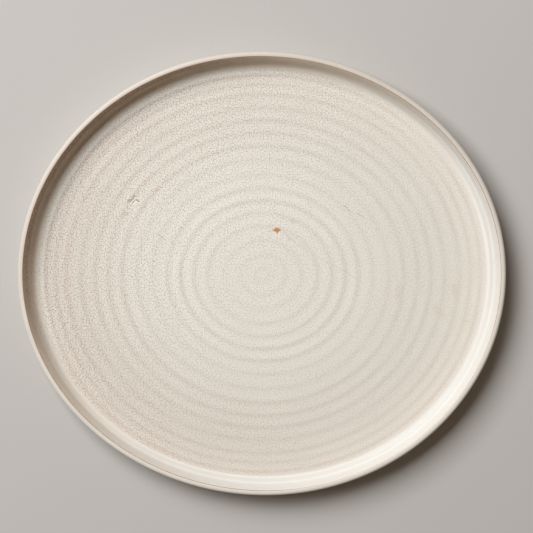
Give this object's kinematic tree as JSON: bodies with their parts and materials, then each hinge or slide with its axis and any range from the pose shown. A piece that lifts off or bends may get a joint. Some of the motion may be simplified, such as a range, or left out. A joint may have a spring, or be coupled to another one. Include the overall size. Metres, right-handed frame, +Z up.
{
  "type": "serving platter",
  "caption": "Large oval stoneware serving platter with a flat floor, a low upright wall, a rounded lip and a foot ring; cream glaze inside and out.",
  "frame": {"origin": "middle of the oval, on the surface the foot ring stands on", "axes": "+X along the platter's length, +Y across it, +Z up out of the well"},
  "size_m": [0.4058, 0.37, 0.03],
  "materials": {
    "bare_clay": "unglazed, dry and slightly rough",
    "inside_glaze": "semi-matt, finely stippled",
    "outside_glaze": "semi-matt, smooth",
    "underside_glaze": "semi-matt, finely stippled"
  },
  "bodies": {
    "root": {"clay_body": "bare_clay", "inside_glaze": "inside_glaze", "outside_glaze": "outside_glaze", "underside_glaze": "underside_glaze"}
  },
  "joints": []
}
